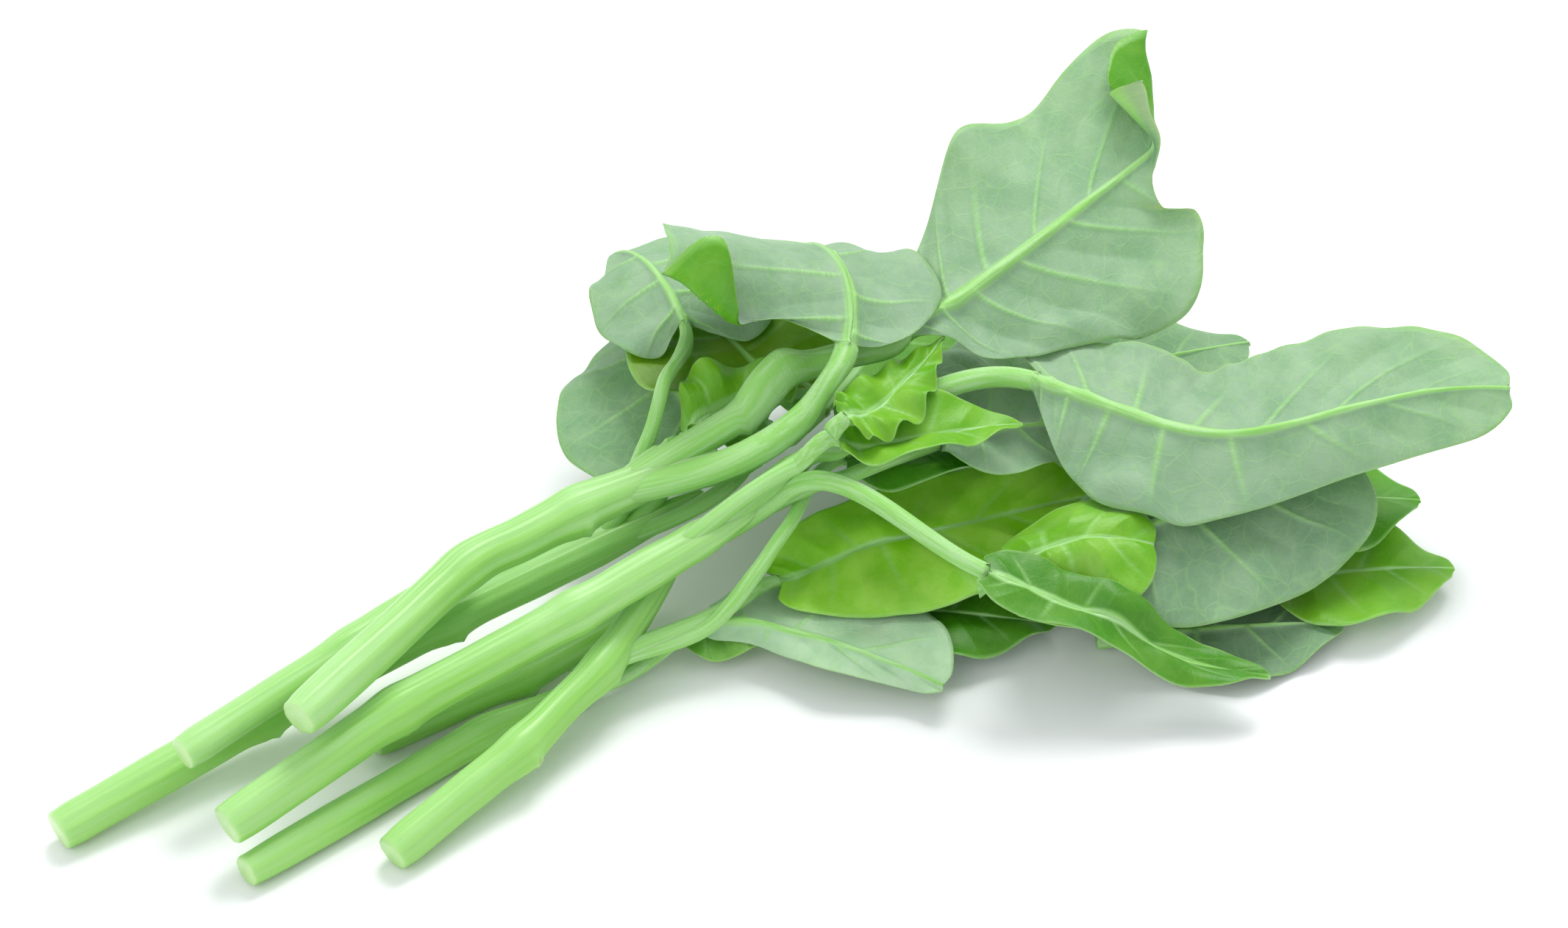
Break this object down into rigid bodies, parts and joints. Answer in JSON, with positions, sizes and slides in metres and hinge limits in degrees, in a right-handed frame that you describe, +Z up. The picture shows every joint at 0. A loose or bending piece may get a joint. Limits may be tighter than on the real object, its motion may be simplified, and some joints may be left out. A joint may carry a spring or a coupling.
{
  "type": "spinach bunch",
  "caption": "Loose bunch of leafy greens lying on its side: cut ribbed stems at one end that open into a heap of broad leaves at the other.",
  "frame": {"origin": "centre of the bunch's bounding box, on the surface that it lies on", "axes": "+X along the bunch from the cut stem ends to the leaf tips, +Y to the back, +Z up"},
  "size_m": [0.2978, 0.1524, 0.0813],
  "materials": {
    "stem": "fresh stem, satin, finely ribbed",
    "leaf_green_face": "fresh leaf, upper face, soft gloss",
    "leaf_pale_face": "fresh leaf, under face, matt"
  },
  "bodies": {
    "root": {"stem_long": "stem", "stem_low_front": "stem", "stem_shaded": "stem", "stem_curved": "stem", "stem_upper_back": "stem", "stem_middle": "stem", "stem_upper": "stem", "leaf_right_dark": "leaf_pale_face", "leaf_right_lowest": "leaf_green_face", "leaf_shaded_front": "leaf_green_face", "leaf_front_small": "leaf_pale_face", "leaf_front": "leaf_pale_face", "leaf_right_bright": "leaf_green_face", "leaf_shaded_right": "leaf_green_face", "leaf_cupped": "leaf_green_face", "leaf_middle": "leaf_green_face", "leaf_right_lower": "leaf_pale_face", "leaf_left": "leaf_pale_face", "leaf_shaded_middle": "leaf_green_face", "leaf_back": "leaf_green_face", "leaf_back_right": "leaf_pale_face", "leaf_pale_inner": "leaf_pale_face", "leaf_under_top_left": "leaf_green_face", "leaf_narrow_left": "leaf_green_face", "leaf_upper_left": "leaf_pale_face", "leaf_drooping": "leaf_green_face", "leaf_right": "leaf_pale_face", "leaf_spear": "leaf_green_face", "leaf_crinkled": "leaf_green_face", "leaf_top": "leaf_pale_face", "leaf_top_left": "leaf_pale_face"}
  },
  "joints": []
}
